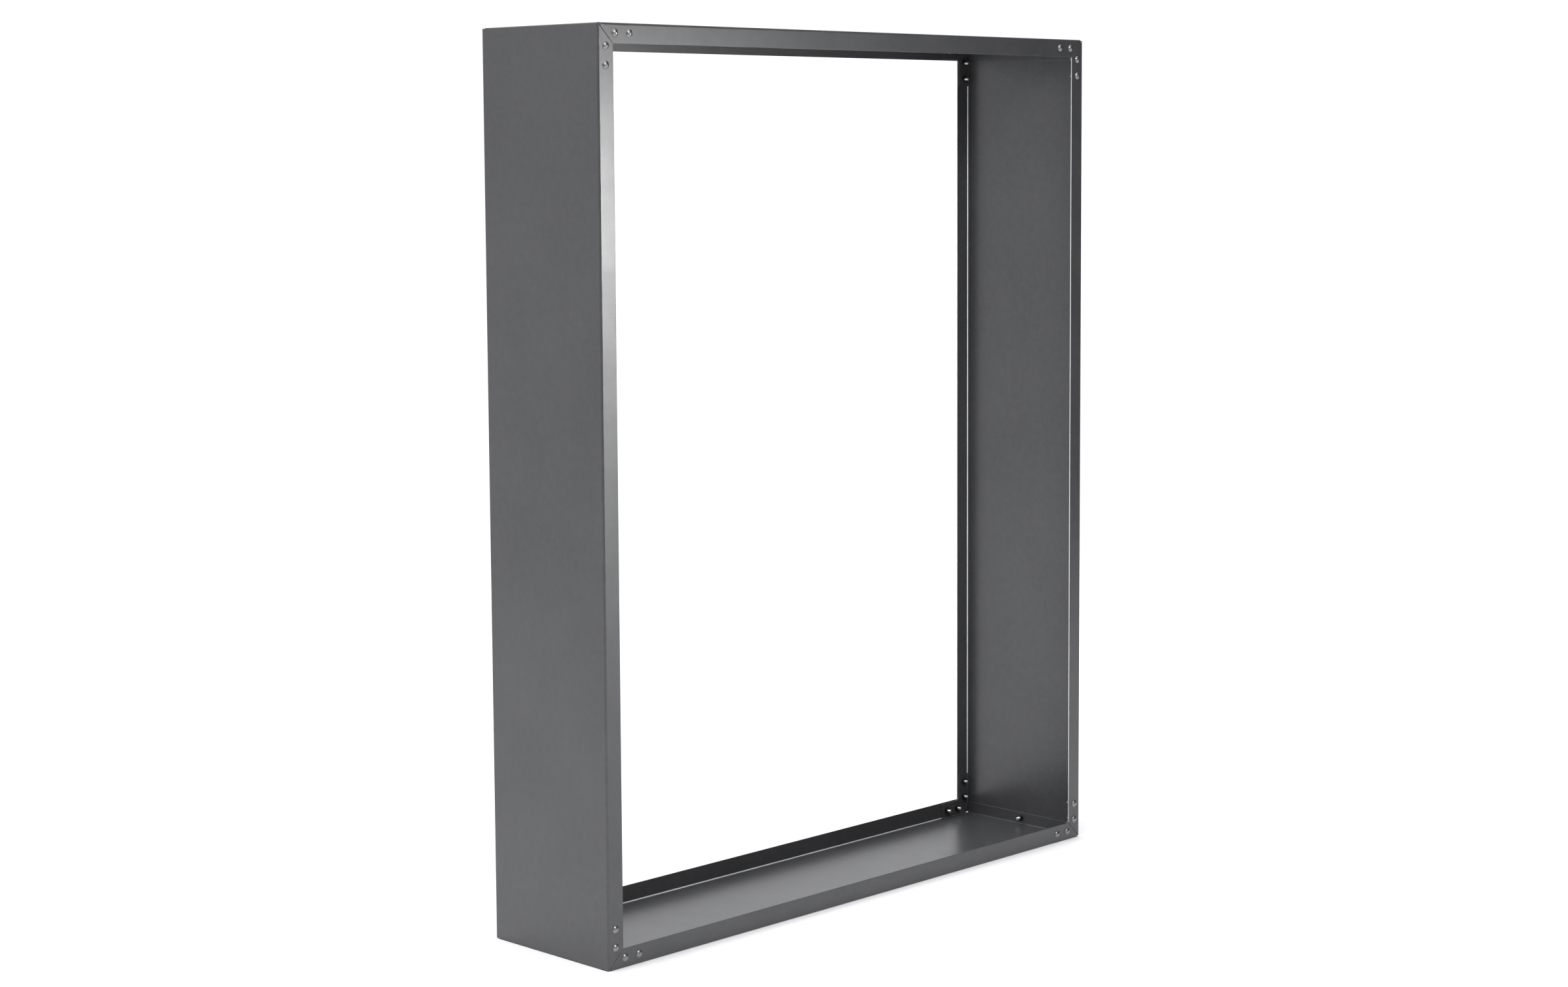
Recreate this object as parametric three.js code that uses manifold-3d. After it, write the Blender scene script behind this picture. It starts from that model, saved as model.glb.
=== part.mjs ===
// Firewood log rack: a tall frame, open at the front and the rear, in which split logs are stacked.
// Four channels bent from steel sheet meet at mitred corners. Flat L-shaped plates behind the
// flanges tie the corners together with bolts. Half way along the depth, a stud on the inside of
// each side panel goes through the end tab of the top or bottom panel and takes a nut.
// Millimetres. +X is the rack's right, +Y its rear, +Z up. The origin is under the middle of the rack.

import * as THREE from 'three';
import { mergeVertices } from 'three/addons/utils/BufferGeometryUtils.js';
import Module from 'manifold-3d';

const wasm = await Module();
wasm.setup();

// ---------------------------------------------------------------- driving dimensions

const WIDTH = 1200; // outside of one side panel to the outside of the other
const HEIGHT = 1500; // underside of the bottom panel to the top of the top panel
const DEPTH = 280; // outer face of the front flanges to that of the rear flanges
const FLANGE = 32; // height of a flange, from the outside of its panel
const SHEET = 2; // sheet thickness
const BEND = 3.5; // outside radius of a bend
const ASSEMBLY_GAP = 0.3; // between pieces that lie against each other
const MITRE_GAP = 0.6; // width of the line between two mitred flanges

const SIDE_TRIM = 1.4; // the side panels stop this short of the underside and of the top
const TAB_INSET = 6; // end tabs' ends, from the outer faces of the flanges
const BOTTOM_TAB = { height: 24, stud: 13 }; // end tab and its stud, from the outside of the panel
const TOP_TAB = { height: 36, stud: 18 };

const PLATE_LEG = 80; // corner plate's leg, from the rack's outer corner
const PLATE_EDGE = 3.2; // corner plate's outer edges, clear of the bends
const PLATE_INSET = 2; // corner plate's inner edges, back from the flanges' free edges
const PLATE_FILLET = 10; // inner corner of the plate

const BOLT_RADIUS = 3; // M6
const BOLT_LENGTH = 16; // under the head
const BOLT_CHAMFER = 0.8;
const HEAD_RADIUS = 6.6;
const HEAD_HEIGHT = 3.6;
const HOLE_RADIUS = 3.45;
const BOLT_OFFSET = 16; // flange bolts, from the outside of their panel
const BOLT_NEAR = 36; // first bolt along a leg, from the rack's outer corner
const BOLT_FAR = 66; // second bolt
const STUD_LENGTH = 14.5; // from the side panel's inner face
const STUD_FOOT_RADIUS = 3.8; // a stud's foot, on the side panel
const STUD_FOOT_HEIGHT = 1;
const TAB_HOLE_RADIUS = 4.5; // clears the foot
const NUT_ACROSS_FLATS = 10;
const NUT_HEIGHT = 5;

const ROUND_STEPS = 12; // sides of a bolt or a hole
const BEND_STEPS = 4; // steps round a bend or a fillet
const DOME_STEPS = 3; // rings on a bolt head
const MARGIN = 1; // how far a cutting solid reaches past what it cuts

// ---------------------------------------------------------------- materials

const powderCoat = () =>
  new THREE.MeshStandardMaterial({ color: 0x45464a, roughness: 0.42, metalness: 0.35 });
const headCoat = () => new THREE.MeshStandardMaterial({ color: 0x3c3d41, roughness: 0.36, metalness: 0.35 });
const zinc = () => new THREE.MeshStandardMaterial({ color: 0xc3c6c8, roughness: 0.3, metalness: 1 });

// ---------------------------------------------------------------- solids

// A closed geometry with its shared vertices merged and its collapsed triangles dropped.
function merged(geometry) {
  const bare = geometry.clone();
  bare.deleteAttribute('normal');
  bare.deleteAttribute('uv');
  const result = mergeVertices(bare, 1e-4);
  const index = result.index.array;
  const kept = [];
  for (let i = 0; i < index.length; i += 3) {
    const [a, b, c] = index.slice(i, i + 3);
    if (a !== b && b !== c && c !== a) kept.push(a, b, c);
  }
  result.setIndex(kept);
  return result;
}

function solidOf(geometry) {
  const closed = merged(geometry);
  const vertProperties = new Float32Array(closed.attributes.position.array);
  const triVerts = new Uint32Array(closed.index.array);
  return new wasm.Manifold(new wasm.Mesh({ numProp: 3, vertProperties, triVerts }));
}

function geometryOf(solid) {
  const mesh = solid.getMesh();
  const geometry = new THREE.BufferGeometry();
  geometry.setAttribute('position', new THREE.BufferAttribute(mesh.vertProperties, mesh.numProp));
  geometry.setIndex(new THREE.BufferAttribute(mesh.triVerts, 1));
  geometry.computeVertexNormals();
  return geometry;
}

// A flat outline given a thickness along the third axis.
function extruded(shape, thickness) {
  return new THREE.ExtrudeGeometry(shape, {
    depth: thickness,
    curveSegments: BEND_STEPS,
    bevelEnabled: false,
  });
}

// A hole's cutting solid, centred on the origin, along X, Y or Z.
function holeCutter(length, axis, radius = HOLE_RADIUS) {
  const cylinder = new THREE.CylinderGeometry(radius, radius, length, ROUND_STEPS);
  if (axis === 'x') cylinder.rotateZ(Math.PI / 2);
  if (axis === 'z') cylinder.rotateX(Math.PI / 2);
  return cylinder;
}

// ---------------------------------------------------------------- panels

// A panel is built lying down: X across the rack's depth, Y up from the panel's outer face to the
// flanges' free edges, and Z along the panel from one outer corner of the rack to the other.

function channelShape() {
  const half = DEPTH / 2;
  const inner = BEND - SHEET;
  const shape = new THREE.Shape();
  shape.moveTo(-half, FLANGE);
  shape.lineTo(-half, BEND);
  shape.absarc(-half + BEND, BEND, BEND, Math.PI, 1.5 * Math.PI, false);
  shape.lineTo(half - BEND, 0);
  shape.absarc(half - BEND, BEND, BEND, -0.5 * Math.PI, 0, false);
  shape.lineTo(half, FLANGE);
  shape.lineTo(half - SHEET, FLANGE);
  shape.lineTo(half - SHEET, BEND);
  shape.absarc(half - BEND, BEND, inner, 0, -0.5 * Math.PI, true);
  shape.lineTo(-half + BEND, SHEET);
  shape.absarc(-half + BEND, BEND, inner, 1.5 * Math.PI, Math.PI, true);
  shape.closePath();
  return shape;
}

// The space that the mitres leave to a panel of this length, whose web stops short by trim.
function mitreSpace(length, trim) {
  const slack = MITRE_GAP / Math.SQRT2;
  const high = FLANGE + MARGIN;
  const knee = Math.max(trim - slack, -MARGIN);
  const outline = [
    [trim, -MARGIN], [length - trim, -MARGIN], [length - trim, knee],
    [length - high - slack, high], [high + slack, high], [trim, knee],
  ];
  const shape = new THREE.Shape(outline.map(([along, up]) => new THREE.Vector2(-along, up)));
  const width = DEPTH + 2 * MARGIN;
  return solidOf(extruded(shape, width).rotateY(Math.PI / 2).translate(-width / 2, 0, 0));
}

function channel(length, trim) {
  return solidOf(extruded(channelShape(), length)).intersect(mitreSpace(length, trim));
}

// Holes for the flange bolts, each cut through both flanges at once.
function cutFlangeHoles(panel, length) {
  const stations = [BOLT_NEAR, BOLT_FAR, length - BOLT_FAR, length - BOLT_NEAR];
  return stations.reduce((solid, along) => {
    const cutter = holeCutter(DEPTH + 2 * MARGIN, 'x').translate(0, BOLT_OFFSET, along);
    return solid.subtract(solidOf(cutter));
  }, panel);
}

function sidePanelGeometry() {
  const panel = cutFlangeHoles(channel(HEIGHT, SIDE_TRIM), HEIGHT);
  // Stand it up as the left panel: web on the left, length along Z.
  const stand = new THREE.Matrix4().makeBasis(
    new THREE.Vector3(0, -1, 0), new THREE.Vector3(1, 0, 0), new THREE.Vector3(0, 0, 1));
  return geometryOf(panel).applyMatrix4(stand);
}

// The tab at the start of a panel: it leaves the web, bends up and lies inside the side panel's web.
function tabGeometry(start, height) {
  const face = SHEET + ASSEMBLY_GAP;
  const bendEnd = face + BEND;
  const shape = new THREE.Shape();
  shape.moveTo(-start, 0);
  shape.lineTo(-bendEnd, 0);
  shape.absarc(-bendEnd, BEND, BEND, -0.5 * Math.PI, 0, false);
  shape.lineTo(-face, height);
  shape.lineTo(-face - SHEET, height);
  shape.lineTo(-face - SHEET, BEND);
  shape.absarc(-bendEnd, BEND, BEND - SHEET, 0, -0.5 * Math.PI, true);
  shape.lineTo(-start, SHEET);
  shape.closePath();
  const width = DEPTH - 2 * TAB_INSET;
  return extruded(shape, width).rotateY(Math.PI / 2).translate(-width / 2, 0, 0);
}

function flatPanelGeometry({ height, stud }) {
  const webEnd = SHEET + ASSEMBLY_GAP + BEND;
  const turnRound = new THREE.Matrix4().makeRotationY(Math.PI).setPosition(0, 0, WIDTH);
  const tab = tabGeometry(webEnd + MARGIN, height);
  const tabHoles = holeCutter(WIDTH + 2 * MARGIN, 'z', TAB_HOLE_RADIUS).translate(0, stud, WIDTH / 2);
  const panel = cutFlangeHoles(channel(WIDTH, webEnd), WIDTH)
    .add(solidOf(tab))
    .add(solidOf(tab.clone().applyMatrix4(turnRound)))
    .subtract(solidOf(tabHoles));
  // Lay it down as the bottom panel: length along X, centred, flanges up.
  const lay = new THREE.Matrix4().makeBasis(
    new THREE.Vector3(0, 1, 0), new THREE.Vector3(0, 0, 1), new THREE.Vector3(1, 0, 0));
  return geometryOf(panel).applyMatrix4(lay).translate(-WIDTH / 2, 0, 0);
}

// ---------------------------------------------------------------- corner plates and fasteners

// Where the four bolts of a corner stand, in X and Z from the rack's outer corner.
const CORNER_BOLTS = [
  [BOLT_NEAR, BOLT_OFFSET], [BOLT_FAR, BOLT_OFFSET],
  [BOLT_OFFSET, BOLT_NEAR], [BOLT_OFFSET, BOLT_FAR],
];

function hexNut(height) {
  return new THREE.CylinderGeometry(
    NUT_ACROSS_FLATS / Math.sqrt(3), NUT_ACROSS_FLATS / Math.sqrt(3), height, 6);
}

// The plate of the bottom left corner of the front, with its four captive nuts. The rack's outer
// corner is the origin, and Y = 0 is the outer face of the flanges.
function cornerPlateGeometry() {
  const inner = FLANGE - PLATE_INSET;
  const centre = inner + PLATE_FILLET;
  const shape = new THREE.Shape();
  shape.moveTo(PLATE_EDGE, PLATE_EDGE);
  shape.lineTo(PLATE_LEG, PLATE_EDGE);
  shape.lineTo(PLATE_LEG, inner);
  shape.lineTo(centre, inner);
  shape.absarc(centre, centre, PLATE_FILLET, 1.5 * Math.PI, Math.PI, true);
  shape.lineTo(inner, PLATE_LEG);
  shape.lineTo(PLATE_EDGE, PLATE_LEG);
  shape.closePath();
  const face = SHEET + ASSEMBLY_GAP + SHEET;
  let plate = solidOf(extruded(shape, SHEET).rotateX(Math.PI / 2).translate(0, face, 0));
  for (const [x, z] of CORNER_BOLTS) {
    const rooted = NUT_HEIGHT + SHEET / 2;
    plate = plate.add(solidOf(hexNut(rooted).translate(x, face + NUT_HEIGHT - rooted / 2, z)));
  }
  for (const [x, z] of CORNER_BOLTS) {
    plate = plate.subtract(solidOf(holeCutter(2 * BOLT_LENGTH, 'y').translate(x, face, z)));
  }
  return geometryOf(plate);
}

// A bolt along Y, its head in front of the face at Y = 0.
function boltGeometry() {
  const seat = -ASSEMBLY_GAP;
  const tip = seat + BOLT_LENGTH;
  const domeRadius = (HEAD_RADIUS ** 2 + HEAD_HEIGHT ** 2) / (2 * HEAD_HEIGHT);
  const rimAngle = Math.asin(HEAD_RADIUS / domeRadius);
  const profile = [new THREE.Vector2(0, seat - HEAD_HEIGHT)];
  for (let i = 1; i <= DOME_STEPS; i += 1) {
    const angle = rimAngle * (i / DOME_STEPS);
    const drop = domeRadius * (1 - Math.cos(angle));
    profile.push(new THREE.Vector2(domeRadius * Math.sin(angle), seat - HEAD_HEIGHT + drop));
  }
  profile.push(
    new THREE.Vector2(BOLT_RADIUS, seat),
    new THREE.Vector2(BOLT_RADIUS, tip - BOLT_CHAMFER),
    new THREE.Vector2(BOLT_RADIUS - BOLT_CHAMFER, tip),
    new THREE.Vector2(0, tip),
  );
  return merged(new THREE.LatheGeometry(profile, ROUND_STEPS));
}

// A stud along Y, its foot on the face at Y = 0.
function studGeometry() {
  const foot = ASSEMBLY_GAP + STUD_FOOT_HEIGHT;
  return merged(new THREE.LatheGeometry([
    new THREE.Vector2(0, ASSEMBLY_GAP),
    new THREE.Vector2(STUD_FOOT_RADIUS, ASSEMBLY_GAP),
    new THREE.Vector2(STUD_FOOT_RADIUS, foot),
    new THREE.Vector2(BOLT_RADIUS, foot),
    new THREE.Vector2(BOLT_RADIUS, STUD_LENGTH - BOLT_CHAMFER),
    new THREE.Vector2(BOLT_RADIUS - BOLT_CHAMFER, STUD_LENGTH),
    new THREE.Vector2(0, STUD_LENGTH),
  ], ROUND_STEPS));
}

// A loose nut along Y that lies against the face at Y = 0.
function nutGeometry() {
  const nut = solidOf(hexNut(NUT_HEIGHT).translate(0, ASSEMBLY_GAP + NUT_HEIGHT / 2, 0));
  return geometryOf(nut.subtract(solidOf(holeCutter(4 * NUT_HEIGHT, 'y'))));
}

// ---------------------------------------------------------------- assembly

const group = new THREE.Group();

function addMesh(parent, name, geometry, material) {
  const mesh = new THREE.Mesh(geometry, material);
  mesh.name = name;
  parent.add(mesh);
  return mesh;
}

const sidePanel = sidePanelGeometry();
const cornerPlate = cornerPlateGeometry();
const bolt = boltGeometry();
const stud = studGeometry();
const nut = nutGeometry();

addMesh(group, 'left_side_panel', sidePanel, powderCoat()).position.x = -WIDTH / 2;
const rightPanel = addMesh(group, 'right_side_panel', sidePanel, powderCoat());
rightPanel.rotation.z = Math.PI;
rightPanel.position.x = WIDTH / 2;
addMesh(group, 'bottom_panel', flatPanelGeometry(BOTTOM_TAB), powderCoat());
const topPanel = addMesh(group, 'top_panel', flatPanelGeometry(TOP_TAB), powderCoat());
topPanel.rotation.y = Math.PI;
topPanel.position.z = HEIGHT;

// The four corners of a face, turned about Y from the bottom left one.
const CORNERS = [
  { level: 'bottom', side: 'left', x: -WIDTH / 2, z: 0, turn: 0 },
  { level: 'top', side: 'left', x: -WIDTH / 2, z: HEIGHT, turn: Math.PI / 2 },
  { level: 'top', side: 'right', x: WIDTH / 2, z: HEIGHT, turn: Math.PI },
  { level: 'bottom', side: 'right', x: WIDTH / 2, z: 0, turn: -Math.PI / 2 },
];
const OPPOSITE = { left: 'right', right: 'left' };

// The rear face is the front face turned half a turn about Z, which swaps left and right.
for (const face of ['front', 'rear']) {
  const faceGroup = new THREE.Group();
  faceGroup.rotation.z = face === 'rear' ? Math.PI : 0;
  group.add(faceGroup);
  for (const corner of CORNERS) {
    const side = face === 'rear' ? OPPOSITE[corner.side] : corner.side;
    const label = `${face}_${corner.level}_${side}`;
    const cornerGroup = new THREE.Group();
    cornerGroup.position.set(corner.x, -DEPTH / 2, corner.z);
    cornerGroup.rotation.y = corner.turn;
    faceGroup.add(cornerGroup);
    addMesh(cornerGroup, `${label}_corner_plate`, cornerPlate, powderCoat());
    CORNER_BOLTS.forEach(([x, z], i) => {
      addMesh(cornerGroup, `${label}_bolt_${i + 1}`, bolt, headCoat()).position.set(x, 0, z);
    });
  }
}

// The studs run along X from the inside of each side panel, with a loose nut inside the tab.
const TAB_LEVELS = [['bottom', BOTTOM_TAB.stud], ['top', HEIGHT - TOP_TAB.stud]];
for (const [side, x, turn] of [['left', -WIDTH / 2, -Math.PI / 2], ['right', WIDTH / 2, Math.PI / 2]]) {
  for (const [level, z] of TAB_LEVELS) {
    const station = new THREE.Group();
    station.position.set(x, 0, z);
    station.rotation.z = turn;
    group.add(station);
    addMesh(station, `${side}_${level}_tab_stud`, stud, zinc()).position.y = SHEET;
    addMesh(station, `${side}_${level}_tab_nut`, nut, zinc()).position.y = 2 * SHEET + ASSEMBLY_GAP;
  }
}

export default group;
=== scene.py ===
import math
import random

import bmesh
import bpy
from mathutils import Matrix, Vector


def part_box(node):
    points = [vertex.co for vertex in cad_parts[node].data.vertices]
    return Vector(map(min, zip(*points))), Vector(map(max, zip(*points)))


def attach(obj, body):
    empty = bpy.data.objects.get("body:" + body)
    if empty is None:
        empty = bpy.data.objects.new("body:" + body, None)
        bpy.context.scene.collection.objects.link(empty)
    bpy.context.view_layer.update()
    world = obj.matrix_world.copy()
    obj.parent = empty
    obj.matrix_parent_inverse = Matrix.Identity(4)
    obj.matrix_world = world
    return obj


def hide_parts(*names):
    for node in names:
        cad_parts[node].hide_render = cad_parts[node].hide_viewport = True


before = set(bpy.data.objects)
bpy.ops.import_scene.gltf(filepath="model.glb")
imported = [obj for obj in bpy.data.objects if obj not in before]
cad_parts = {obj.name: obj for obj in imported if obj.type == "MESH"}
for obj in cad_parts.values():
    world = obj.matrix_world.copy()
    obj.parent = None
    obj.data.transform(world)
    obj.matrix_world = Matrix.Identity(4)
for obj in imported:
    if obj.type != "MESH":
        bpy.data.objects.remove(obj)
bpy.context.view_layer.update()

# Firewood log rack: four channels bent from powder-coated sheet, corner plates, domed bolts with
# bare threads, hex nuts, and a stud with its nut at each end tab. Metres; the rack faces -Y.

# ------------------------------------------------------------------ sizes

MM = 0.001
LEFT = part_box("left_side_panel")[0].x
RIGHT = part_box("right_side_panel")[1].x
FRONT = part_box("left_side_panel")[0].y
HALF_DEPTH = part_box("left_side_panel")[1].y
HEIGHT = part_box("top_panel")[1].z
WIDTH = RIGHT - LEFT

SHEET = 2 * MM
FLANGE = 32 * MM
BEND = 3.5 * MM  # outside radius
GAP = 0.3 * MM  # between pieces that lie against each other
MITRE_SLACK = 0.6 * MM / math.sqrt(2)  # from the mitre's middle line to a panel, along the panel
SIDE_TRIM = 1.4 * MM  # a side panel's web stops this far short of the rack's corner
WEB_END = SHEET + GAP + BEND  # where a flat panel's web turns into its end tab
TAB_HALF = HALF_DEPTH - 6 * MM
TAB_CHAMFER = 5 * MM
TABS = {  # a tab's height, and its stud's offset from the outside of the panel
    "bottom_panel": (24 * MM, 13 * MM),
    "top_panel": (36 * MM, 18 * MM),
}

HOLE_RADIUS = 3.45 * MM
TAB_HOLE_RADIUS = 4.5 * MM
BOLT_OFFSET = 16 * MM  # flange bolts, from the outside of their panel
BOLT_NEAR = 36 * MM  # bolts along a leg, from the rack's outer corner
BOLT_FAR = 66 * MM

PLATE_EDGE = 3.2 * MM  # a corner plate's outline, measured from the rack's outer corner
PLATE_INNER = 30 * MM
PLATE_LEG = 80 * MM
PLATE_CORNER = 1.5 * MM  # radii of its corners
PLATE_FILLET = 10 * MM

BOLT_LENGTH = 16 * MM
HEAD_RADIUS = 6.6 * MM
HEAD_HEIGHT = 3.6 * MM
HEAD_RIM = 0.35 * MM
THREAD_RADIUS = 3 * MM
THREAD_PITCH = 1 * MM
THREAD_DEPTH = 0.55 * MM
TIP_CHAMFER = 0.9 * MM
TIP_INSET = 1.3 * MM  # from the thread's outside to the tip's flat
STUD_LENGTH = 14.5 * MM
STUD_FOOT_RADIUS = 3.8 * MM
STUD_FOOT_HEIGHT = 1 * MM
NUT_FLATS = 10 * MM
NUT_HEIGHT = 5 * MM
NUT_SINK = 0.5 * MM  # depth of the countersink at each end of the bore
NUT_GAP = 0.03 * MM  # under a flange nut
NUT_TURN = 1.05  # a hex nut looks the same after a sixth of a turn
FULL_TURN = 6.28

BEND_STEPS = 10
HOLE_STEPS = 36
HEAD_STEPS = 56
DOME_STEPS = 12
THREAD_STEPS = 20  # round the thread
THREAD_LEVELS = 4  # to a pitch
NUT_STEPS = 60
SMALL_ARC_STEPS = 5
LARGE_ARC_STEPS = 12
EDGE_BEVEL = 0.3 * MM  # ordinary edges
NOSE_BEVEL = 0.5 * MM  # the flanges' free edges
BEVEL_STEPS = 3
SETTLE = 0.03 * MM  # moves the panels in, so that the bevels stay inside the rack's box
TOUCH = 0.01 * MM  # points closer than this lie on the same plane
REAL_EDGE = math.radians(32)  # an edge that turns by more is bevelled
LONG_RUN = 50 * MM  # a free edge of a flange is longer than this

random.seed(7)

# ------------------------------------------------------------------ materials

MOST = (0.35, 0.65)  # most of a noise's values lie between these
NEARLY_ALL = (0.3, 0.7)

# Roughness stays above 0.28. The denoiser treats smoother surfaces in another way, and where a
# surface crosses from one way to the other, hard-edged patches show.
COAT_ROUGHNESS = (0.288, 0.33)
HEAD_ROUGHNESS = (0.3, 0.36)
ZINC_ROUGHNESS = (0.285, 0.4)

COAT_EDGE_RADIUS = 1.2 * MM  # how far from an edge the shading is rounded
HEAD_EDGE_RADIUS = 0.4 * MM


def add_node(tree, kind, inputs=None, **settings):
    node = tree.nodes.new(kind)
    for key, value in settings.items():
        setattr(node, key, value)
    for key, value in (inputs or {}).items():
        if isinstance(value, bpy.types.NodeSocket):
            tree.links.new(value, node.inputs[key])
        else:
            node.inputs[key].default_value = value
    return node


def noise(tree, coords, scale, detail, roughness):
    return add_node(tree, "ShaderNodeTexNoise", {
        "Vector": coords, "Scale": scale, "Detail": detail, "Roughness": roughness,
    }).outputs["Fac"]


def remap(tree, value, low, high, to_low, to_high):
    return add_node(tree, "ShaderNodeMapRange", {
        "Value": value, "From Min": low, "From Max": high, "To Min": to_low, "To Max": to_high,
    }).outputs["Result"]


def maths(tree, operation, a, b=0.0):
    return add_node(tree, "ShaderNodeMath", {0: a, 1: b}, operation=operation).outputs[0]


def blend_colour(tree, factor, a, b):
    mix = add_node(tree, "ShaderNodeMix", {"Factor": factor}, data_type="RGBA")
    for socket, value in ((mix.inputs[6], a), (mix.inputs[7], b)):
        if isinstance(value, bpy.types.NodeSocket):
            tree.links.new(value, socket)
        else:
            socket.default_value = value
    return mix.outputs[2]


def vector_maths(tree, operation, inputs, output="Vector"):
    node = add_node(tree, "ShaderNodeVectorMath", inputs, operation=operation)
    return node.outputs[output]


def swayed(tree, coords, normal, scale, amount):
    """The normal turned a little, at random along the surface, as no sheet is quite flat."""
    field = add_node(tree, "ShaderNodeTexNoise", {"Vector": coords, "Scale": scale, "Detail": 1.0})
    centred = vector_maths(tree, "SUBTRACT", {0: field.outputs["Color"], 1: (0.5, 0.5, 0.5)})
    scaled = vector_maths(tree, "SCALE", {0: centred, "Scale": amount})
    added = vector_maths(tree, "ADD", {0: normal, 1: scaled})
    return vector_maths(tree, "NORMALIZE", {0: added})


def grey(value, tint=1.0):
    """A grey that leans to blue, by as much as tint says."""
    return (value, value * (1 + 0.01 * tint), value * (1 + 0.05 * tint), 1.0)


def begin_material(name):
    material = bpy.data.materials.new(name)
    material.use_nodes = True
    tree = material.node_tree
    tree.nodes.clear()
    output = add_node(tree, "ShaderNodeOutputMaterial")
    shader = add_node(tree, "ShaderNodeBsdfPrincipled")
    tree.links.new(shader.outputs["BSDF"], output.inputs["Surface"])
    coords = add_node(tree, "ShaderNodeTexCoord").outputs["Object"]
    return material, tree, shader, coords


def own_coords(tree, coords):
    """Coordinates shifted by each object's own random number, so that copies don't look alike."""
    shift = add_node(tree, "ShaderNodeObjectInfo").outputs["Random"]
    return vector_maths(tree, "ADD", {0: coords, 1: shift})


def soft_edges(tree, coords, radius, breakup):
    """The normal rounded over every edge, and a mask along the edges, broken up by a noise."""
    rounded = add_node(tree, "ShaderNodeBevel", {"Radius": radius}, samples=6).outputs["Normal"]
    flat = add_node(tree, "ShaderNodeNewGeometry").outputs["Normal"]
    agreement = vector_maths(tree, "DOT_PRODUCT", {0: rounded, 1: flat}, "Value")
    edge = remap(tree, agreement, 0.995, 0.8, 0.0, 1.0)
    edge_wear_and_highlight = remap(tree, noise(tree, coords, breakup, 4.0, 0.65), 0.42, 0.62, 0.15, 1.0)
    return rounded, maths(tree, "MULTIPLY", edge, edge_wear_and_highlight)


def powder_coat(name, dark, light, speck, edge_wear_and_highlight, rougher=0.0, metallic=0.0):
    """Satin powder coat: cloudy colour with fine specks, paler at edges as wear and as a painted
    highlight, orange peel, wavy sheet.
    """
    material, tree, shader, coords = begin_material(name)
    cloud = noise(tree, coords, 6.0, 5.0, 0.55)
    grain = noise(tree, coords, 600.0, 2.0, 0.5)
    mottle = noise(tree, coords, 75.0, 4.0, 0.6)
    clouds = maths(tree, "ADD", remap(tree, cloud, *MOST, 0.0, 0.5),
                   remap(tree, mottle, *MOST, 0.0, 0.5))
    base = blend_colour(tree, clouds, dark, light)
    speckled = blend_colour(tree, remap(tree, grain, 0.4, 0.7, 0.0, 0.3), base, speck)
    rounded, edge = soft_edges(tree, coords, COAT_EDGE_RADIUS, 90.0)
    # Edges painted paler: partly wear where the coat thins, partly a painted highlight along them.
    coloured = blend_colour(tree, maths(tree, "MULTIPLY", edge, 0.35), speckled, edge_wear_and_highlight)
    tree.links.new(coloured, shader.inputs["Base Color"])

    handling = noise(tree, coords, 13.0, 6.0, 0.65)
    smoothest, roughest = (limit + rougher for limit in COAT_ROUGHNESS)
    rough = remap(tree, handling, *NEARLY_ALL, smoothest, roughest)
    rough = maths(tree, "ADD", rough, remap(tree, mottle, *MOST, -0.006, 0.01))
    tree.links.new(rough, shader.inputs["Roughness"])

    bow = swayed(tree, coords, rounded, 3.0, 0.008)
    wave = swayed(tree, coords, bow, 14.0, 0.003)
    peel = swayed(tree, coords, wave, 420.0, 0.03)
    tree.links.new(peel, shader.inputs["Normal"])
    shader.inputs["IOR"].default_value = 1.6
    shader.inputs["Metallic"].default_value = metallic
    return material


def bolt_coat():
    """The heads' darker and glossier coat, with paler rims and small dings."""
    material, tree, shader, coords = begin_material("bolt_coat")
    moved = own_coords(tree, coords)
    cloud = noise(tree, moved, 160.0, 3.0, 0.55)
    base = blend_colour(tree, remap(tree, cloud, *MOST, 0.0, 1.0), grey(0.014), grey(0.022))
    rounded, edge = soft_edges(tree, moved, HEAD_EDGE_RADIUS, 600.0)
    coloured = blend_colour(tree, maths(tree, "MULTIPLY", edge, 0.4), base, grey(0.08, 0.4))
    tree.links.new(coloured, shader.inputs["Base Color"])
    rough = remap(tree, noise(tree, moved, 420.0, 3.0, 0.6), *NEARLY_ALL, *HEAD_ROUGHNESS)
    tree.links.new(rough, shader.inputs["Roughness"])
    dings = swayed(tree, moved, rounded, 700.0, 0.05)
    tree.links.new(dings, shader.inputs["Normal"])
    shader.inputs["IOR"].default_value = 2.8
    return material


def zinc(name, cool, warm, dull):
    """Zinc plate: cloudy, a little blue and yellow in places, with fine pits."""
    material, tree, shader, coords = begin_material(name)
    moved = own_coords(tree, coords)
    cloud = noise(tree, moved, 220.0, 4.0, 0.6)
    tint = noise(tree, moved, 90.0, 2.0, 0.5)
    base = blend_colour(tree, remap(tree, tint, 0.4, 0.62, 0.0, 1.0), cool, warm)
    dulled = blend_colour(tree, remap(tree, cloud, 0.48, 0.72, 0.0, 0.6), base, dull)
    tree.links.new(dulled, shader.inputs["Base Color"])
    rough = remap(tree, noise(tree, moved, 700.0, 3.0, 0.6), *NEARLY_ALL, *ZINC_ROUGHNESS)
    tree.links.new(rough, shader.inputs["Roughness"])
    pits = add_node(tree, "ShaderNodeBump", {
        "Height": noise(tree, moved, 2600.0, 2.0, 0.6), "Distance": 0.015 * MM, "Strength": 0.4,
    }).outputs["Normal"]
    tree.links.new(pits, shader.inputs["Normal"])
    shader.inputs["Metallic"].default_value = 1.0
    return material


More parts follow.
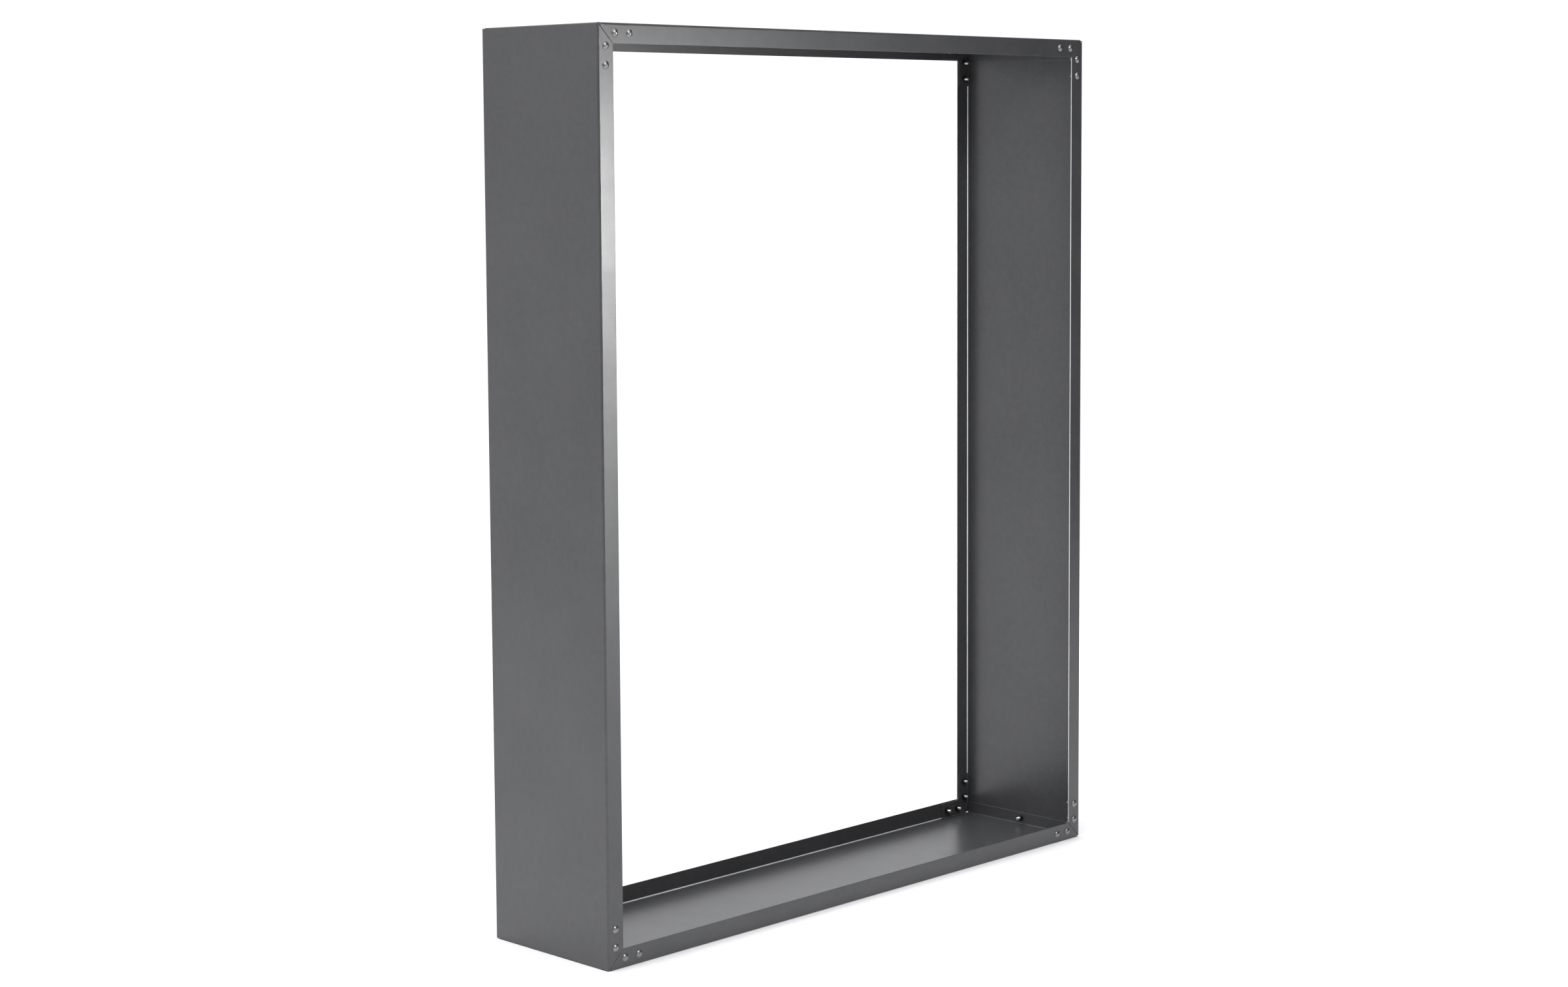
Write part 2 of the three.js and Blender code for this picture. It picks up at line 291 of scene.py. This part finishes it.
MATERIALS = {
    "powder_coat": powder_coat(
        "powder_coat", dark=grey(0.036), light=grey(0.052), speck=grey(0.075, 1.5),
        edge_wear_and_highlight=grey(0.1, 0.4)),
    # A pale metallic coat that paints a highlight inside the panels' long bends and on the side
    # panels' free edges.
    "painted_bend_highlight": powder_coat(
        "painted_bend_highlight", dark=grey(0.8, 0.2), light=grey(0.95, 0.2), speck=grey(0.97, 0.2),
        edge_wear_and_highlight=grey(0.95, 0.2), rougher=0.2, metallic=0.7),
    "bolt_coat": bolt_coat(),
    "zinc": zinc(
        "zinc", cool=(0.62, 0.65, 0.69, 1.0), warm=(0.70, 0.68, 0.62, 1.0),
        dull=(0.33, 0.33, 0.34, 1.0)),
    "dark_zinc": zinc(
        "dark_zinc", cool=(0.075, 0.078, 0.085, 1.0), warm=(0.09, 0.085, 0.075, 1.0),
        dull=(0.04, 0.04, 0.042, 1.0)),
}

# ------------------------------------------------------------------ pieces


def mesh_from(bm, name, material):
    bmesh.ops.recalc_face_normals(bm, faces=bm.faces)
    mesh = bpy.data.meshes.new(name)
    bm.to_mesh(mesh)
    bm.free()
    mesh.materials.append(MATERIALS[material])
    for polygon in mesh.polygons:
        polygon.use_smooth = True
    return mesh


def place(name, mesh, nodes, matrix=None):
    piece = bpy.data.objects.new(name, mesh)
    bpy.context.scene.collection.objects.link(piece)
    if matrix is not None:
        piece.matrix_world = matrix
    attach(piece, "root")
    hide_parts(*nodes)
    return piece


def is_nose(part):
    """Whether an edge or face of a panel that lies down is on a flange's free edge."""
    return all(abs(v.co.y - FLANGE) < TOUCH for v in part.verts)


def weigh_edges(bm, has_noses=False):
    """Bevel weights: full along a panel's free edges, and smaller on every other real edge."""
    layer = bm.edges.layers.float.new("bevel_weight_edge")
    for edge in bm.edges:
        if edge.is_manifold and edge.calc_face_angle(0) > REAL_EDGE:
            wide = has_noses and is_nose(edge) and edge.calc_length() > LONG_RUN
            edge[layer] = 1.0 if wide else EDGE_BEVEL / NOSE_BEVEL


def paint_bend_highlights(bm, noses):
    """The panel's second material paints a highlight inside its long bends, and with noses on its
    free edges.
    """
    for face in bm.faces:
        centre = face.calc_center_median()
        from_axis = math.hypot(abs(centre.x) - (HALF_DEPTH - BEND), centre.y - BEND)
        in_bend = abs(from_axis - (BEND - SHEET)) < 3 * TOUCH
        if in_bend or noses and is_nose(face):
            face.material_index = 1


def soften_edges(piece):
    """Small bevels on every real edge, and flat faces that stay flat beside the bends."""
    edges = piece.modifiers.new("edges", "BEVEL")
    edges.width = NOSE_BEVEL
    edges.segments = BEVEL_STEPS
    edges.limit_method = "WEIGHT"
    edges.use_clamp_overlap = False
    normals = piece.modifiers.new("normals", "WEIGHTED_NORMAL")
    normals.mode = "FACE_AREA"
    normals.weight = 50
    normals.keep_sharp = False


def solid_from_skins(outer, inner, faces):
    """A closed sheet from matching outer and inner points and the faces that join them."""
    bm = bmesh.new()
    skins = [[bm.verts.new(point) for point in skin] for skin in (outer, inner)]
    used = set()
    for face in faces:
        bm.faces.new([skins[0][i] for i in face])
        bm.faces.new([skins[1][i] for i in reversed(face)])
        used.update(zip(face, face[1:] + face[:1]))
    for a, b in sorted(used):
        if (b, a) not in used:
            bm.faces.new([skins[0][b], skins[0][a], skins[1][a], skins[1][b]])
    return bm


def cut(bm, holes):
    """The solid with cylindrical holes cut through it; a hole is (centre, axis, radius, length)."""
    cutters = bmesh.new()
    for centre, axis, radius, length in holes:
        turn = axis.to_track_quat("Z", "Y").to_matrix().to_4x4()
        bmesh.ops.create_cone(
            cutters, cap_ends=True, segments=HOLE_STEPS, radius1=radius, radius2=radius,
            depth=length, matrix=Matrix.Translation(centre) @ turn)
    made = []
    for source in (bm, cutters):
        bmesh.ops.recalc_face_normals(source, faces=source.faces)
        mesh = bpy.data.meshes.new("cut")
        source.to_mesh(mesh)
        source.free()
        made.append(bpy.data.objects.new("cut", mesh))
        bpy.context.scene.collection.objects.link(made[-1])
    boolean = made[0].modifiers.new("holes", "BOOLEAN")
    boolean.operation = "DIFFERENCE"
    boolean.solver = "EXACT"
    boolean.object = made[1]
    evaluated = made[0].evaluated_get(bpy.context.evaluated_depsgraph_get())
    result = bmesh.new()
    result.from_mesh(evaluated.to_mesh())
    evaluated.to_mesh_clear()
    for thing in made:
        mesh = thing.data
        bpy.data.objects.remove(thing)
        bpy.data.meshes.remove(mesh)
    return result


# ------------------------------------------------------------------ panels

# A panel is built lying down, with u, v and s for X, Y and Z: u runs across the rack's depth, v up
# from the panel's outer face, and s along the panel, from one outer corner of the rack to the
# other.


def channel_stations(knee):
    """Outer and inner (u, v) pairs from a free edge round the bend to the web's flat.

    The knee is the height where the end stops being square and its mitre starts.
    """
    half = [((HALF_DEPTH, v), (HALF_DEPTH - SHEET, v)) for v in (FLANGE, knee) if v > BEND]
    middle = (HALF_DEPTH - BEND, BEND)
    for step in range(BEND_STEPS + 1):
        angle = -math.pi / 2 * step / BEND_STEPS
        half.append(tuple(
            (middle[0] + r * math.cos(angle), middle[1] + r * math.sin(angle))
            for r in (BEND, BEND - SHEET)))
    return half


def mitre_start(v, trim):
    """How far along the panel its sheet starts at height v."""
    return max(trim, v + MITRE_SLACK)


def panel_solid(length, trim, tab=None):
    """A channel with mitred flanges, whose web stops at trim or turns up into a tab there."""
    half = channel_stations(trim - MITRE_SLACK)
    if tab:
        half.append(((TAB_HALF, 0.0), (TAB_HALF, SHEET)))
    stations = [tuple((-u, v) for u, v in pair) for pair in half] + half[::-1]
    outer, inner, faces = [], [], []
    for pair in stations:
        for skin, (u, v) in zip((outer, inner), pair):
            start = mitre_start(v, trim)
            skin.extend([(u, v, start), (u, v, length - start)])
    for i in range(len(stations) - 1):
        faces.append([2 * i, 2 * i + 1, 2 * i + 3, 2 * i + 2])
    if tab:
        left = 2 * (len(half) - 1)
        for end in (0, 1):
            add_tab(outer, inner, faces, (left + end, left + 2 + end), end, length, tab[0])
    return solid_from_skins(outer, inner, faces)


def add_tab(outer, inner, faces, corners, end, length, height):
    """The tab bends up from the web's end, between the two corner points; end is 0 or 1."""
    def along(s):
        return length - s if end else s

    def wound(face):
        return face if end else face[::-1]

    previous = corners
    for step in range(1, BEND_STEPS + 1):
        angle = math.pi / 2 * step / BEND_STEPS
        row = []
        for u in (-TAB_HALF, TAB_HALF):
            row.append(len(outer))
            for skin, r in ((outer, BEND), (inner, BEND - SHEET)):
                skin.append((u, BEND - r * math.cos(angle), along(WEB_END - r * math.sin(angle))))
        faces.append(wound([previous[0], row[0], row[1], previous[1]]))
        previous = row
    face = [previous[1], previous[0]]
    for u, v in ((-TAB_HALF, height - TAB_CHAMFER), (-TAB_HALF + TAB_CHAMFER, height),
                 (TAB_HALF - TAB_CHAMFER, height), (TAB_HALF, height - TAB_CHAMFER)):
        face.append(len(outer))
        outer.append((u, v, along(SHEET + GAP)))
        inner.append((u, v, along(SHEET + GAP + SHEET)))
    faces.append(wound(face))


def panel_holes(length, tab=None):
    """Each bolt hole is cut through both flanges at once, and the stud's hole through both tabs."""
    across = Vector((1, 0, 0))
    reach = 2 * HALF_DEPTH + 2 * SHEET
    holes = [(Vector((0, BOLT_OFFSET, s)), across, HOLE_RADIUS, reach)
             for s in (BOLT_NEAR, BOLT_FAR, length - BOLT_FAR, length - BOLT_NEAR)]
    if tab:
        middle = Vector((0, tab[1], length / 2))
        holes.append((middle, Vector((0, 0, 1)), TAB_HOLE_RADIUS, length + 2 * SHEET))
    return holes


def rows(x, y, z, place_at=(0, 0, 0)):
    """The matrix that takes (u, v, s) to the rack's frame, from the rows that give X, Y and Z."""
    return Matrix.Translation(place_at) @ Matrix((x, y, z)).to_4x4()


PANELS = {
    "left_side_panel": rows((0, 1, 0), (-1, 0, 0), (0, 0, 1), (LEFT + SETTLE, 0, 0)),
    "right_side_panel": rows((0, -1, 0), (1, 0, 0), (0, 0, 1), (RIGHT - SETTLE, 0, 0)),
    "bottom_panel": rows((0, 0, 1), (1, 0, 0), (0, 1, 0), (LEFT, 0, SETTLE)),
    "top_panel": rows((0, 0, -1), (1, 0, 0), (0, -1, 0), (RIGHT, 0, HEIGHT - SETTLE)),
}

for node_name, to_rack in PANELS.items():
    tab_size = TABS.get(node_name)
    panel_length = WIDTH if tab_size else HEIGHT
    solid = panel_solid(panel_length, WEB_END if tab_size else SIDE_TRIM, tab_size)
    solid = cut(solid, panel_holes(panel_length, tab_size))
    weigh_edges(solid, has_noses=True)
    paint_bend_highlights(solid, noses=tab_size is None)
    bmesh.ops.transform(solid, matrix=to_rack, verts=solid.verts)
    panel = place(f"{node_name}_sheet", mesh_from(solid, node_name, "powder_coat"),
                  [node_name])
    # The second material paints a highlight inside the bends and on the side panels' free edges.
    panel.data.materials.append(MATERIALS["painted_bend_highlight"])
    soften_edges(panel)

# ------------------------------------------------------------------ lathed and threaded pieces

# Fasteners are built along +Y. Y = 0 is the flange's outer face for a bolt, the inner face of the
# side panel's web for a stud, and the lower end for a nut.


def closed_loft(rings):
    """A closed solid through rings of equal counts; a ring of one point is a tip."""
    bm = bmesh.new()
    made = [[bm.verts.new(point) for point in ring] for ring in rings]
    for low, high in zip(made, made[1:]):
        count = max(len(low), len(high))
        for i in range(count):
            j = (i + 1) % count
            corners = [low[i % len(low)], low[j % len(low)],
                       high[j % len(high)], high[i % len(high)]]
            bm.faces.new(list(dict.fromkeys(corners)))  # at a tip, two corners are one point
    return bm


def loop(radii, heights):
    """A ring of points round the Y axis, from the radius and the height of each."""
    steps = len(radii)
    turns = [2 * math.pi * i / steps for i in range(steps)]
    return [(radius * math.cos(turn), y, radius * math.sin(turn))
            for radius, y, turn in zip(radii, heights, turns)]


def circle(radius, y, steps):
    if radius == 0:
        return [(0, y, 0)]
    return loop([radius] * steps, [y] * steps)


def head_mesh():
    """A smooth dome with a rounded rim and a flat underside."""
    top = -GAP - HEAD_HEIGHT
    dome = (HEAD_RADIUS ** 2 + HEAD_HEIGHT ** 2) / (2 * HEAD_HEIGHT)  # the sphere's radius
    limit = math.asin((HEAD_RADIUS - HEAD_RIM * 0.45) / dome)
    profile = [(0, top)]
    for i in range(1, DOME_STEPS + 1):
        angle = limit * i / DOME_STEPS
        profile.append((dome * math.sin(angle), top + dome * (1 - math.cos(angle))))
    for inset, rise in ((0.12, 0.62), (0.05, 0.32), (0.35, 0.0)):  # parts of the rim's radius
        profile.append((HEAD_RADIUS - HEAD_RIM * inset, -GAP - HEAD_RIM * rise))
    profile += [(THREAD_RADIUS * 1.1, -GAP), (0, -GAP)]
    rings = [circle(radius, y, HEAD_STEPS) for radius, y in profile]
    return mesh_from(closed_loft(rings), "bolt_head", "bolt_coat")


def thread_radius(phase):
    """The thread's radius; phase goes from 0 at its root, over its crest, to 1 at its root."""
    ridge = 1 - abs(2 * phase - 1)  # one at the crest, zero at the root
    depth = THREAD_DEPTH * (1 - min(1.0, max(0.0, ridge * 1.35 - 0.15)))
    return THREAD_RADIUS * 0.985 - depth


def thread_solid(start, end, foot=None):
    """A rod with a helical thread and a chamfered tip along Y; a foot is (radius, height)."""
    step_y = THREAD_PITCH / THREAD_LEVELS
    count = int(round((end - start) / step_y))
    rings = [circle(0, start, THREAD_STEPS)]
    first = start
    if foot:
        radius, height = foot
        for width, level in ((0.94, 0.0), (1.0, 0.12), (1.0, 0.85), (0.93, 1.0)):
            rings.append(circle(radius * width, start + height * level, THREAD_STEPS))
        first = start + height
    for k in range(count + 1):
        y = start + k * step_y
        if y < first:
            continue
        chamfered = THREAD_RADIUS - TIP_CHAMFER * (1 - min(1.0, (end - y) / TIP_CHAMFER))
        radii = [min(thread_radius((k / THREAD_LEVELS + i / THREAD_STEPS) % 1.0), chamfered)
                 for i in range(THREAD_STEPS)]
        rings.append(loop(radii, [y] * THREAD_STEPS))
    rings.append(circle(THREAD_RADIUS - TIP_INSET, end, THREAD_STEPS))
    rings.append(circle(0, end, THREAD_STEPS))
    return closed_loft(rings)


def nut_mesh():
    """A hex nut with chamfered corners and a countersunk bore, from Y = 0 to its height."""
    flats = NUT_FLATS / 2
    shoulder = flats * 0.965
    bore, sink = THREAD_RADIUS + 0.06 * MM, THREAD_RADIUS + 0.55 * MM
    hexagon = []
    for i in range(NUT_STEPS):
        angle = 2 * math.pi * i / NUT_STEPS
        from_flat = (angle + math.pi / 6) % (math.pi / 3) - math.pi / 6
        hexagon.append(flats / math.cos(from_flat))
    chamfer = [0.04 * MM + (radius - shoulder) * math.tan(math.radians(30)) for radius in hexagon]
    rings = [
        circle(bore, NUT_SINK, NUT_STEPS),
        circle(sink, 0.0, NUT_STEPS),
        circle(shoulder, 0.0, NUT_STEPS),
        loop(hexagon, chamfer),
        loop(hexagon, [NUT_HEIGHT - drop for drop in chamfer]),
        circle(shoulder, NUT_HEIGHT, NUT_STEPS),
        circle(sink, NUT_HEIGHT, NUT_STEPS),
        circle(bore, NUT_HEIGHT - NUT_SINK, NUT_STEPS),
    ]
    bm = closed_loft(rings + [rings[0]])
    bmesh.ops.remove_doubles(bm, verts=bm.verts, dist=0.001 * MM)
    return mesh_from(bm, "hex_nut", "dark_zinc")


def sharpen(mesh, degrees):
    """Marks the edges that turn by more than this as sharp, so that the rest shades smoothly."""
    bm = bmesh.new()
    bm.from_mesh(mesh)
    for edge in bm.edges:
        edge.smooth = not (edge.is_manifold and edge.calc_face_angle(0) > math.radians(degrees))
    bm.to_mesh(mesh)
    bm.free()
    return mesh


bolt_rod = thread_solid(-GAP, -GAP + BOLT_LENGTH)
stud_rod = thread_solid(GAP, STUD_LENGTH, (STUD_FOOT_RADIUS, STUD_FOOT_HEIGHT))
HEAD = sharpen(head_mesh(), degrees=50)
BOLT_THREAD = sharpen(mesh_from(bolt_rod, "bolt_thread", "zinc"), degrees=50)
NUT = sharpen(nut_mesh(), degrees=25)
STUD = sharpen(mesh_from(stud_rod, "tab_stud", "zinc"), degrees=50)

# ------------------------------------------------------------------ corner plates

# A plate is built as the front's bottom left one, from the rack's outer corner. Y = 0 is the
# flanges' outer face.

PLATE_FRONT = SHEET + GAP
PLATE_BACK = PLATE_FRONT + SHEET


def quarter_arc(x, z, dx, dz, radius, steps):
    """A rounded corner's points; (dx, dz) points from the corner to the arc's centre."""
    centre = (x + dx * radius, z + dz * radius)
    start = math.atan2(0, -dx)
    stop = math.atan2(-dz, 0)
    turn = (stop - start + math.pi) % (2 * math.pi) - math.pi
    arc = []
    for i in range(steps + 1):
        angle = start + turn * i / steps
        arc.append((centre[0] + radius * math.cos(angle), centre[1] + radius * math.sin(angle)))
    return arc


def plate_solid():
    """An L with its inner corner filleted and its other corners rounded."""
    small = (PLATE_CORNER, SMALL_ARC_STEPS)
    large = (PLATE_FILLET, LARGE_ARC_STEPS)
    points = (
        quarter_arc(PLATE_EDGE, PLATE_EDGE, 1, 1, *small)
        + quarter_arc(PLATE_LEG, PLATE_EDGE, -1, 1, *small)[::-1]
        + quarter_arc(PLATE_LEG, PLATE_INNER, -1, -1, *small)
        + quarter_arc(PLATE_INNER, PLATE_INNER, 1, 1, *large)[::-1]
        + quarter_arc(PLATE_INNER, PLATE_LEG, -1, -1, *small)
        + quarter_arc(PLATE_EDGE, PLATE_LEG, 1, -1, *small)[::-1])
    skins = [[(x, y, z) for x, z in points] for y in (PLATE_FRONT, PLATE_BACK)]
    return solid_from_skins(*skins, [list(range(len(points)))])


CORNER_BOLTS = [
    (BOLT_NEAR, BOLT_OFFSET), (BOLT_FAR, BOLT_OFFSET),
    (BOLT_OFFSET, BOLT_NEAR), (BOLT_OFFSET, BOLT_FAR),
]
plate_cut = cut(plate_solid(), [
    (Vector((x, PLATE_FRONT + SHEET / 2, z)), Vector((0, 1, 0)), HOLE_RADIUS, 4 * SHEET)
    for x, z in CORNER_BOLTS])
weigh_edges(plate_cut)
PLATE = mesh_from(plate_cut, "corner_plate", "powder_coat")

# ------------------------------------------------------------------ assembly

CORNER_TURNS = {  # the corner's X and Z, and the plate's turn there
    ("bottom", "left"): (LEFT, 0.0, 0.0),
    ("top", "left"): (LEFT, HEIGHT, math.pi / 2),
    ("top", "right"): (RIGHT, HEIGHT, math.pi),
    ("bottom", "right"): (RIGHT, 0.0, -math.pi / 2),
}
OPPOSITE = {"left": "right", "right": "left"}


def spun(matrix, angle):
    """The same seat, with the fastener turned about its own axis."""
    return matrix @ Matrix.Rotation(angle, 4, "Y")


for side_of_rack, half_turn in (("front", 0.0), ("rear", math.pi)):
    for (level, side), (x, z, turn) in CORNER_TURNS.items():
        shown_side = OPPOSITE[side] if half_turn else side
        label = f"{side_of_rack}_{level}_{shown_side}"
        corner = (Matrix.Rotation(half_turn, 4, "Z") @ Matrix.Translation((x, FRONT, z))
                  @ Matrix.Rotation(turn, 4, "Y"))
        plate = place(f"{label}_plate", PLATE, [f"{label}_corner_plate"], corner)
        soften_edges(plate)
        for number, (across, up) in enumerate(CORNER_BOLTS, 1):
            seat = corner @ Matrix.Translation((across, 0, up))
            bolt_node = f"{label}_bolt_{number}"
            place(f"{bolt_node}_head", HEAD, [bolt_node], spun(seat, random.random()))
            place(f"{bolt_node}_thread", BOLT_THREAD, [bolt_node],
                  spun(seat, random.uniform(0, FULL_TURN)))
            nut_seat = seat @ Matrix.Translation((0, PLATE_BACK + NUT_GAP, 0))
            place(f"{label}_nut_{number}", NUT, [f"{label}_corner_plate"],
                  spun(nut_seat, random.uniform(0, NUT_TURN)))

for side, x, turn in (("left", LEFT, -math.pi / 2), ("right", RIGHT, math.pi / 2)):
    for level, z in (("bottom", TABS["bottom_panel"][1]), ("top", HEIGHT - TABS["top_panel"][1])):
        station = Matrix.Translation((x, 0, z)) @ Matrix.Rotation(turn, 4, "Z")
        label = f"{side}_{level}_tab"
        stud_seat = station @ Matrix.Translation((0, SHEET, 0))
        nut_seat = station @ Matrix.Translation((0, 2 * SHEET + 2 * GAP, 0))
        place(f"{label}_stud_thread", STUD, [f"{label}_stud"],
              spun(stud_seat, random.uniform(0, FULL_TURN)))
        place(f"{label}_hex_nut", NUT, [f"{label}_nut"],
              spun(nut_seat, random.uniform(0, NUT_TURN)))

# ------------------------------------------------------------------ floor, light and camera

FLOOR_RADIUS = 3.8
FLOOR_STEPS = 128

# Where each light is, where it points, its width and height, its watts, and its spread in degrees.
# The two narrow beams from the right make the bright band on the left front flange.
LIGHTS = {
    "right_front_box": ((1.62, -2.92, 1.12), (-0.58, -0.14, 1.25), (0.55, 0.5), 1.95, 38),
    "right_front_fill": ((1.62, -2.92, 0.47), (-0.58, -0.14, 0.8), (0.55, 0.7), 0.55, 40),
    "front_strip": ((-1.3, -4.3, 1.25), (0.0, 0.0, 1.0), (1.0, 2.5), 8, 180),
    "front_key": ((-0.9, -2.9, 3.05), (-0.2, 0.0, 1.0), (1.2, 1.2), 60, 180),
}

BEHIND = (-0.45, 0.89, 0.0)  # level, from the rack to the middle of the studio's white side
DIM_LEVEL, WHITE_LEVEL = 0.06, 1.05
CEILING_LEVEL = 2.0
SHOWN_LEVEL = 1.1  # what the camera sees as background
STUDIO_TINT = (0.975, 0.978, 1.0, 1.0)

CAMERA_PLACE = (-3.4786, -3.3629, 1.3066)
CAMERA_TURN = (84.478, 0.327, -45.573)  # degrees
CAMERA_LENS = 63.668
CAMERA_SENSOR = 36
CAMERA_SHIFT_Y = -0.05


def floor_material():
    """Matt white, very slightly cloudy."""
    material, tree, shader, coords = begin_material("floor")
    cloud = noise(tree, coords, 1.2, 3.0, 0.5)
    tree.links.new(blend_colour(tree, cloud, (0.86, 0.86, 0.86, 1), (0.9, 0.9, 0.9, 1)),
                   shader.inputs["Base Color"])
    shader.inputs["Roughness"].default_value = 0.9
    shader.inputs["Specular IOR Level"].default_value = 0.1
    return material


floor_bm = bmesh.new()
bmesh.ops.create_circle(floor_bm, cap_ends=True, segments=FLOOR_STEPS, radius=FLOOR_RADIUS)
floor_mesh = bpy.data.meshes.new("floor")
floor_bm.to_mesh(floor_mesh)
floor_bm.free()
floor_mesh.materials.append(floor_material())
floor = bpy.data.objects.new("floor", floor_mesh)
bpy.context.scene.collection.objects.link(floor)


def softbox(name, place_at, aim, size, power, spread):
    light = bpy.data.lights.new(name, "AREA")
    light.shape = "RECTANGLE"
    light.spread = math.radians(spread)
    light.size, light.size_y = size
    light.energy = power
    lamp = bpy.data.objects.new(name, light)
    bpy.context.scene.collection.objects.link(lamp)
    lamp.visible_camera = False
    lamp.location = place_at
    lamp.rotation_euler = (Vector(aim) - Vector(place_at)).to_track_quat("-Z", "Y").to_euler()


for light_name, settings in LIGHTS.items():
    softbox(light_name, *settings)


def smooth_steps(tree, value, low, high, to_low, to_high):
    return add_node(tree, "ShaderNodeMapRange", {
        "Value": value, "From Min": low, "From Max": high, "To Min": to_low, "To Max": to_high,
    }, interpolation_type="SMOOTHSTEP").outputs["Result"]


def studio_world():
    """White behind the rack, dim before it, a little dimmer at the horizon, and bright above."""
    world = bpy.data.worlds.new("studio")
    world.use_nodes = True
    tree = world.node_tree
    tree.nodes.clear()
    direction = add_node(tree, "ShaderNodeTexCoord").outputs["Generated"]
    facing = vector_maths(tree, "DOT_PRODUCT", {0: direction, 1: BEHIND}, "Value")
    level = smooth_steps(tree, facing, -0.4, 0.2, DIM_LEVEL, WHITE_LEVEL)
    rise = add_node(tree, "ShaderNodeSeparateXYZ", {0: direction}).outputs["Z"]
    ceiling = smooth_steps(tree, rise, 0.68, 0.92, 0.0, CEILING_LEVEL)
    from_horizon = maths(tree, "ABSOLUTE", maths(tree, "SUBTRACT", rise, 0.02))
    level = maths(tree, "MULTIPLY", level, remap(tree, from_horizon, 0.0, 0.27, 0.84, 1.15))
    level = maths(tree, "ADD", level, ceiling)
    camera_ray = add_node(tree, "ShaderNodeLightPath").outputs["Is Camera Ray"]
    shown = add_node(tree, "ShaderNodeMix", {0: camera_ray, 2: level, 3: SHOWN_LEVEL},
                     data_type="FLOAT")
    background = add_node(tree, "ShaderNodeBackground",
                          {"Color": STUDIO_TINT, "Strength": shown.outputs[0]})
    output = add_node(tree, "ShaderNodeOutputWorld")
    tree.links.new(background.outputs[0], output.inputs["Surface"])
    bpy.context.scene.world = world


studio_world()

camera_data = bpy.data.cameras.new("camera")
camera_data.sensor_width = CAMERA_SENSOR
camera_data.lens = CAMERA_LENS
camera_data.shift_y = CAMERA_SHIFT_Y
camera_data.clip_start = 0.05
camera_data.clip_end = 200
camera = bpy.data.objects.new("camera", camera_data)
bpy.context.scene.collection.objects.link(camera)
camera.location = CAMERA_PLACE
camera.rotation_euler = [math.radians(angle) for angle in CAMERA_TURN]
bpy.context.scene.camera = camera

bpy.context.scene.view_settings.view_transform = "Standard"
bpy.context.scene.view_settings.look = "None"
